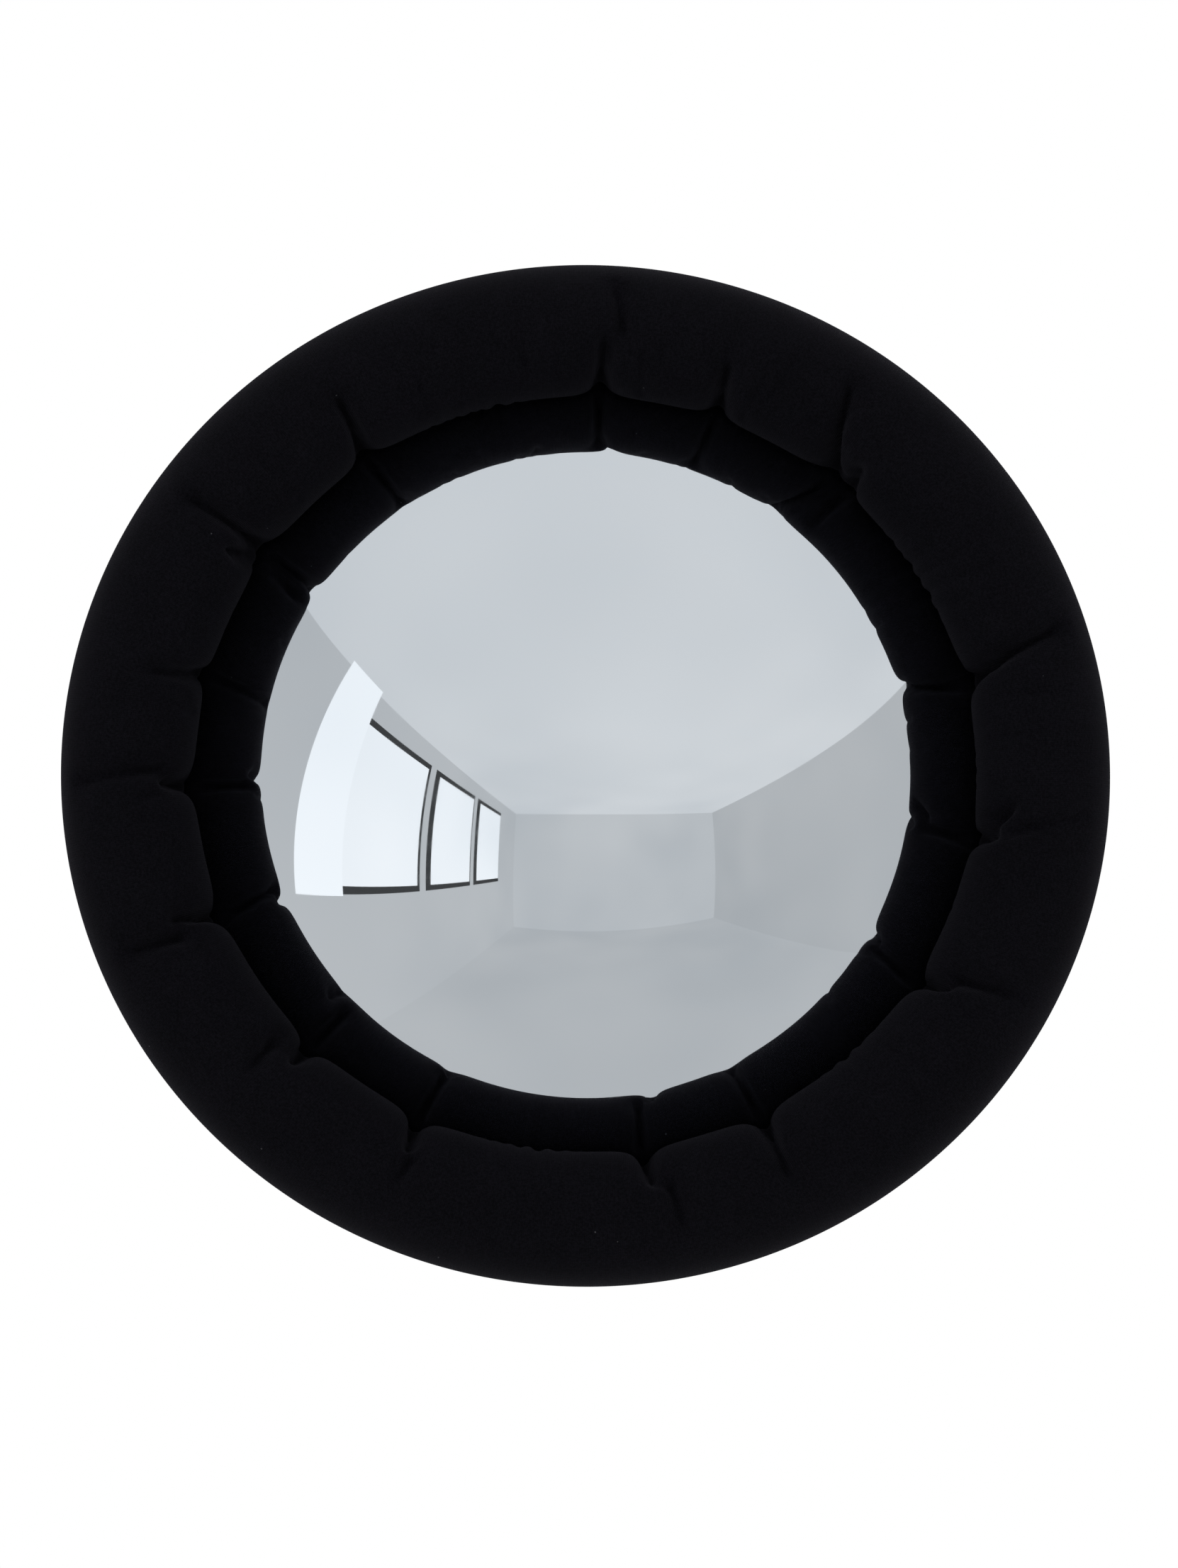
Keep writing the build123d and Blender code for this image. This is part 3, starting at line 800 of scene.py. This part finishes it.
def settle_cloth(points, held, gathered, rounds):
    """Cloth simulation: the knit's lengths pull, the filling presses, and dome and board stop it.

    The tube is cut straight, so its inside has too much cloth, and that cloth fills out into
    pillows between the points that are held.
    """
    columns, rows = points.shape[:2]
    turn, angle = ring_grid(columns, rows)
    radius = RING + out_of_round(turn) + 0.97 * TUBE * np.cos(angle)
    inside = outside_share(angle + math.pi)
    along = (radius * (TAUT + (SPARE - TAUT) * inside) * 2 * math.pi / columns)[..., None]
    around = (TAUT * (TUBE - gathered) * 2 * math.pi / rows)[..., None]
    corner = np.hypot((along + ahead(along, 0, 1)) / 2, around)
    free = 1 - held[..., None]
    home = points.copy()
    homing = np.maximum(0.6 * held, 0.004 + 0.05 * outside_share(angle))[..., None]
    before = points.copy()
    for _ in range(rounds):
        drift = DRIFT_KEPT * (points - before)
        before = points.copy()
        points = points + (drift + surface_normals(points) * PRESSURE) * free
        for _ in range(2):
            points = pull_links(points, (1, 0), along, STRETCH, SQUEEZE, free)
            points = pull_links(points, (0, 1), around, STRETCH, SQUEEZE, free)
        points = pull_links(points, (1, 1), corner, SHEAR_STRETCH, SHEAR_SQUEEZE, free)
        points = pull_links(points, (1, -1), ahead(corner, 0, -1), SHEAR_STRETCH, SHEAR_SQUEEZE, free)
        points = pull_links(points, (2, 0), 2 * along, 0.0, BENDING, free)
        points = pull_links(points, (0, 2), 1.99 * around, 0.0, BENDING, free)
        points += (home - points) * homing
        points = keep_clear(points)
    return points


def finer_ring(grid):
    """The grid with twice the points both ways, on smooth curves through the old ones."""
    for axis in (0, 1):
        before, after = np.roll(grid, 1, axis), np.roll(grid, -1, axis)
        later = np.roll(grid, -2, axis)
        middle = (9 * (grid + after) - (before + later)) / 16
        grid = np.stack([grid, middle], axis=axis + 1)
        shape = list(grid.shape)
        shape[axis : axis + 2] = [shape[axis] * shape[axis + 1]]
        grid = grid.reshape(shape)
    return grid


def keep_clear(points):
    """Moves ring points out of the dome, the board, and the flange with its screw heads."""
    gap = 0.4 * MM
    centre = np.array([0, -DOME_CENTRE, 0])
    away = points - centre
    distance = np.linalg.norm(away, axis=-1, keepdims=True)
    points = np.where(distance < DOME + gap, centre + away * (DOME + gap) / distance, points)
    radius = np.hypot(points[..., 0], points[..., 2])
    depth = -points[..., 1]
    on_flange = smooth_step((DOME_RIM + 3 * MM - radius) / (2.5 * MM))
    least = BOARD_FRONT + gap + on_flange * (SCREW_HEAD_FRONT - BOARD_FRONT + gap)
    points[..., 1] = -np.maximum(depth, least)
    return points


def weave_map(obj, columns, rows):
    """A UV map in metres of cloth: along the tube, and round it."""
    layer = obj.data.uv_layers.new(name="weave")
    step_along = 2 * math.pi * (RING + TUBE) / columns
    step_round = 2 * math.pi * TUBE / rows
    column, row = np.meshgrid(np.arange(columns), np.arange(rows), indexing="ij")
    corners = np.array([(0, 0), (1, 0), (1, 1), (0, 1)])
    place = np.stack([column, row], axis=-1)[:, :, None, :] + corners
    layer.data.foreach_set("uv", (place * [step_along, step_round]).reshape(-1).astype(np.float32))


def make_ring():
    """The knit tube: folded at its gathers, filled by pressure, then creased and puckered."""
    columns, rows = RING_COLUMNS, RING_ROWS
    turn, angle = ring_grid(columns, rows)
    circle = RING + out_of_round(turn)
    depth, bottom = fold_field(turn, angle, FOLDS, GATHER_WIDTH)
    backward = smooth_step((-10 * MM - over_the_front(angle)) / (10 * MM))
    full = np.maximum(outside_share(angle), backward)
    from_bulge = over_the_front(angle) - BULGE_PLACE
    to_dome = DOME_BULGE * np.exp(-((from_bulge / BULGE_WIDTH) ** 2))
    section = TUBE * (SLACK + (1 - SLACK) * full) + to_dome - START_SHARE * depth
    start = ring_points(turn, angle, section, circle)
    on_board = np.clip(1 - np.abs(wrap(angle - BOARD_SIDE)) / BOARD_REACH, 0, 1)
    held = np.maximum(GATHER_HOLD * bottom, BOARD_HOLD * on_board)
    rounds = SETTLING_ROUNDS
    settled = settle_cloth(start, held, GIRTH_SHARE * depth, rounds)
    grid = finer_ring(settled)
    columns, rows = 2 * columns, 2 * rows
    turn, angle = ring_grid(columns, rows)
    creases, _ = fold_field(turn, angle, FOLDS, CREASE_WIDTH)
    puckers, _ = fold_field(turn, angle, make_puckers(), PUCKER_WIDTH, shoulder=0.3)
    sink = CREASE_SHARE * creases + PUCKER_SHARE * puckers + seam_groove(angle)
    middle = lathe_point(turn, RING + out_of_round(turn), RING_DEPTH + 0 * turn)
    inward = middle - grid
    inward /= np.linalg.norm(inward, axis=-1, keepdims=True)
    grid = keep_clear(grid + inward * sink[..., None])
    ring = mesh_object("padded_ring", grid.reshape(-1, 3), torus_faces(columns, rows))
    weave_map(ring, columns, rows)
    return ring, grid


SEAM_ANGLE = math.radians(-40)


def seam_groove(angle):
    """The tube's closing seam runs round its outer back edge."""
    across = TUBE * wrap(angle - SEAM_ANGLE)
    return 1.3 * MM * np.exp(-((across / (1.6 * MM)) ** 2)) - 0.5 * MM * np.exp(-((across / (5 * MM)) ** 2))


STITCH_COUNT = 300
STITCH_RADIUS = 0.35 * MM
STITCH_SIDES = 6


def make_seam_stitches(grid):
    """Short stitches that cross the closing seam every few millimetres, all in one piece."""
    columns, rows = grid.shape[:2]
    row = int(round((SEAM_ANGLE % (2 * math.pi)) / (2 * math.pi) * rows)) % rows
    reach = 2
    points, faces = [], []
    for number in range(STITCH_COUNT):
        column = int(number * columns / STITCH_COUNT)
        ends = [
            Vector(grid[column, (row - reach) % rows]),
            Vector(grid[(column + 1) % columns, (row + reach) % rows]),
        ]
        centre = Vector(grid[column, row])
        out = (centre - Vector(lathe_point(np.arctan2(centre.z, centre.x), RING, RING_DEPTH))).normalized()
        path = [ends[0] - out * 0.4 * MM, ends[0].lerp(ends[1], 0.3) + out * 0.5 * MM]
        path += [ends[0].lerp(ends[1], 0.7) + out * 0.5 * MM, ends[1] - out * 0.4 * MM]
        along = (ends[1] - ends[0]).normalized()
        side = along.cross(out).normalized()
        base = len(points)
        for spot in path:
            for corner in range(STITCH_SIDES):
                a = 2 * math.pi * corner / STITCH_SIDES
                points.append(spot + (side * math.cos(a) + out * math.sin(a)) * STITCH_RADIUS)
        faces += rod_faces(base, len(path), STITCH_SIDES)
    return mesh_object("seam_stitches", points, faces)


def make_filling(grid):
    """The stuffing: the ring's own shape, drawn in under the cloth and without its creases."""
    columns, rows = grid.shape[0] // 4, grid.shape[1] // 4
    turn = START_TURN + 2 * math.pi * np.arange(grid.shape[0]) / grid.shape[0]
    circle = (RING + out_of_round(turn))[:, None]
    radial = np.hypot(grid[..., 0], grid[..., 2]) - circle
    forward = -grid[..., 1] - RING_DEPTH
    radius = np.hypot(radial, forward)
    for axis, reach in ((0, 12), (1, 6)):
        radius = np.minimum.reduce([np.roll(radius, step, axis) for step in range(-reach, reach + 1)])
    for axis in (0, 1):
        radius = np.mean([np.roll(radius, step, axis) for step in range(-5, 6)], axis=0)
    angle = np.arctan2(forward, radial)
    turns = np.repeat(turn[:, None], grid.shape[1], axis=1)
    points = ring_points(turns, angle, radius - 3 * MM, circle)[::4, ::4]
    return mesh_object("ring_stuffing", points.reshape(-1, 3), torus_faces(columns, rows))


ring, ring_surface = make_ring()
ring.data.materials.append(knit_material())
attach(ring, "mirror_head")
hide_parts("ring_cover")

stitches = make_seam_stitches(ring_surface)
stitches.data.materials.append(webbing_material())
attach(stitches, "mirror_head")

filling = make_filling(ring_surface)
filling.data.materials.append(stuffing_material())
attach(filling, "mirror_head")
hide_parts("ring_filling")

# ---------------------------------------------------------------- dome


def lathe(name, profile, columns, closed=True):
    """A closed turned shape from (radius, depth) points; a radius of 0 becomes a single point."""
    turns = 2 * math.pi * np.arange(columns) / columns
    points, rings = [], []
    for radius, depth in profile:
        if radius == 0:
            rings.append([len(points)])
            points.append((0, -depth, 0))
        else:
            rings.append(list(range(len(points), len(points) + columns)))
            points.extend(lathe_point(turns, radius, depth))
    faces = []
    for here, there in zip(rings, rings[1:] + rings[:1] if closed else rings[1:]):
        for step in range(columns):
            after = (step + 1) % columns
            if len(here) == 1 and len(there) == 1:
                continue
            if len(here) == 1:
                faces.append((here[0], there[after], there[step]))
            elif len(there) == 1:
                faces.append((here[step], here[after], there[0]))
            else:
                faces.append((here[step], here[after], there[after], there[step]))
    return mesh_object(name, points, faces)


def make_dome():
    """The mirror as one smooth shell with its flat flange."""
    flange_front = DOME_BACK + DOME_THICKNESS
    inner = DOME - DOME_THICKNESS
    outer_edge = math.asin(math.sqrt(1 - ((flange_front + 1.5 * MM - DOME_CENTRE) / DOME) ** 2))
    inner_edge = math.acos((DOME_BACK - DOME_CENTRE) / inner)
    steps = 90
    outside = [
        (DOME * math.sin(outer_edge * step / steps), DOME_CENTRE + DOME * math.cos(outer_edge * step / steps))
        for step in range(steps + 1)
    ]
    outside[0] = (0, DOME_FRONT)
    root = outside[-1][0]
    flange = [
        (root + 0.8 * MM, flange_front + 0.5 * MM),
        (root + 2.2 * MM, flange_front),
        (DOME_RIM - 0.3 * MM, flange_front),
        (DOME_RIM, flange_front - 0.3 * MM),
        (DOME_RIM, DOME_BACK),
    ]
    inside_angles = [inner_edge * step / steps for step in range(steps, 0, -1)]
    inside = [(inner * math.sin(a), DOME_CENTRE + inner * math.cos(a)) for a in inside_angles]
    inside.append((0, DOME_CENTRE + inner))
    return lathe("mirror_shell", outside + flange + inside, 256, closed=False)


dome = make_dome()
dome.data.materials.append(mirror_material())
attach(dome, "mirror_head")
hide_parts("mirror_dome")

# ---------------------------------------------------------------- tapes and dust cloth

TAPE_COUNT = 15
TAPE_WIDTH = 15 * MM
TAPE_THICKNESS = 0.8 * MM
TAPE_BACK_STOPS = (258 * MM, 247 * MM, 236.4 * MM)
TAPE_TURNS = [math.radians(90 + 360 / TAPE_COUNT * (number + 0.5)) for number in range(TAPE_COUNT)]


def make_tapes():
    """Woven tapes from under the ring, round the board's edge, to the staples on its back."""
    edge = BOARD + 0.25 * MM
    back = BOARD_BACK - 0.05 * MM
    corner = 1.6 * MM
    path = [(edge + 0.1 * MM, -tape_low.y), (edge, BOARD_FRONT - 1 * MM), (edge, BOARD_BACK + 4 * MM)]
    for step in range(6):
        a = math.pi / 2 * step / 5
        path.append((edge - corner * (1 - math.cos(a)), back + corner * (1 - math.sin(a))))
    path += [(radius, back) for radius in (edge - 8 * MM, *TAPE_BACK_STOPS)]
    profile = [(-0.5, 0.25), (-0.46, 0.9), (0, 1.0), (0.46, 0.9), (0.5, 0.25), (0.46, 0.0), (-0.46, 0.0)]
    points, faces = [], []
    lengths = [0.0]
    for before, here in zip(path, path[1:]):
        lengths.append(lengths[-1] + math.dist(before, here))
    uvs = []
    for turn in TAPE_TURNS:
        outward = np.array([math.cos(turn), 0, math.sin(turn)])
        around = np.array([-math.sin(turn), 0, math.cos(turn)])
        forward = np.array([0, -1, 0])
        base = len(points)
        for number, (radius, depth) in enumerate(path):
            ahead = path[min(number + 1, len(path) - 1)]
            behind = path[max(number - 1, 0)]
            run = np.array([ahead[0] - behind[0], ahead[1] - behind[1]])
            run = run / np.linalg.norm(run)
            normal = outward * -run[1] + forward * run[0]
            for wide, thick in profile:
                spot = outward * radius + forward * depth
                points.append(spot + around * wide * TAPE_WIDTH + normal * thick * TAPE_THICKNESS * 0.95)
                uvs.append((lengths[number], wide * TAPE_WIDTH))
        faces += rod_faces(base, len(path), len(profile))
    tapes = mesh_object("woven_tapes", points, faces)
    layer = tapes.data.uv_layers.new(name="weave")
    corners = np.empty(len(tapes.data.loops), dtype=np.int32)
    tapes.data.loops.foreach_get("vertex_index", corners)
    layer.data.foreach_set("uv", np.array(uvs, np.float32)[corners].reshape(-1))
    return tapes


tapes = make_tapes()
tapes.data.materials.append(webbing_material())
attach(tapes, "mirror_head")
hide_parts("ring_tapes")

CLOTH_RIM = (cloth_high.x - cloth_low.x) / 2
CLOTH_HOLE = 62 * MM
CLOTH_DEPTH = -cloth_high.y
CLOTH_THICKNESS = 0.35 * MM
RIM_STAPLES, HOLE_STAPLES = 15, 8


def make_dust_cloth():
    """A thin cloth pulled tight over the board's back and puckered at each staple."""
    columns, rows = 360, 48
    turn = np.repeat(2 * math.pi * np.arange(columns)[:, None] / columns, rows + 1, axis=1)
    share = np.repeat(np.arange(rows + 1)[None, :] / rows, columns, axis=0)
    rim_staples = RIM_STAPLES * (turn - math.pi / 2)
    ragged = 1.2 * MM * np.cos(rim_staples) - 0.5 * MM * np.cos(3 * rim_staples)
    radius = CLOTH_HOLE + (CLOTH_RIM + ragged - 1.8 * MM - CLOTH_HOLE) * share
    pulled = smooth_step((share - 0.72) / 0.28)
    lift = 0.5 * MM * (1 - np.cos(rim_staples)) * pulled
    hole_pulled = smooth_step((0.2 - share) / 0.2)
    lift += 0.35 * MM * (1 + np.cos(HOLE_STAPLES * turn)) * hole_pulled
    ripple = np.sin(9 * turn + 14 * share) * np.sin(5 * turn - 6 * share + 1.3)
    lift += 0.35 * MM * (1 + ripple) * np.sin(math.pi * share)
    back = CLOTH_DEPTH - lift
    outer = lathe_point(turn, radius, back)
    inner = lathe_point(turn, radius, back + CLOTH_THICKNESS)
    sheet = np.concatenate([outer, inner[:, ::-1]], axis=1)
    count = 2 * (rows + 1)
    return mesh_object("backing_cloth", sheet.reshape(-1, 3), torus_faces(columns, count))


dust_cloth = make_dust_cloth()
dust_cloth.data.materials.append(dust_cloth_material())
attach(dust_cloth, "mirror_head")
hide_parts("dust_cloth")

# ---------------------------------------------------------------- finishes of the CAD pieces

zinc = metal_material("zinc_plate", (0.50, 0.51, 0.54), (0.68, 0.68, 0.69), (0.22, 0.40), scale=500)
wire = metal_material("staple_wire", (0.45, 0.45, 0.46), (0.66, 0.66, 0.67), (0.25, 0.42), scale=900)
aluminium = metal_material(
    "cast_aluminium", (0.40, 0.41, 0.42), (0.56, 0.57, 0.58), (0.42, 0.60), scale=1300, bumps=0.3
)
brass = metal_material("turned_brass", (0.60, 0.42, 0.16), (0.78, 0.58, 0.26), (0.18, 0.32), scale=700)
coat = powder_coat_material()
nylon = plastic_material("nylon", (0.70, 0.69, 0.63), (0.80, 0.79, 0.74), grain=0.1)
knob_plastic = plastic_material("knob_plastic", (0.016, 0.016, 0.018), (0.024, 0.024, 0.026))
ply = plywood_material()
foam = foam_material()

FINISHES = {
    zinc: [
        "dome_screws", "dome_washers", "t_nuts", "plate_screws",
        "pan_bolt", "tilt_bolt", "pan_washer", "tilt_washer",
    ],
    wire: ["tape_staples", "cloth_staples"],
    aluminium: ["knuckle"],
    brass: ["pan_knob_insert", "tilt_knob_insert"],
    coat: ["wall_plate", "mirror_plate"],
    nylon: ["pan_bushes", "tilt_bushes"],
    knob_plastic: ["pan_knob", "tilt_knob"],
    ply: ["backing_board"],
    foam: ["dome_gasket"],
}

for material, names in FINISHES.items():
    for name in names:
        for slot in nodes[name].material_slots:
            slot.material = material
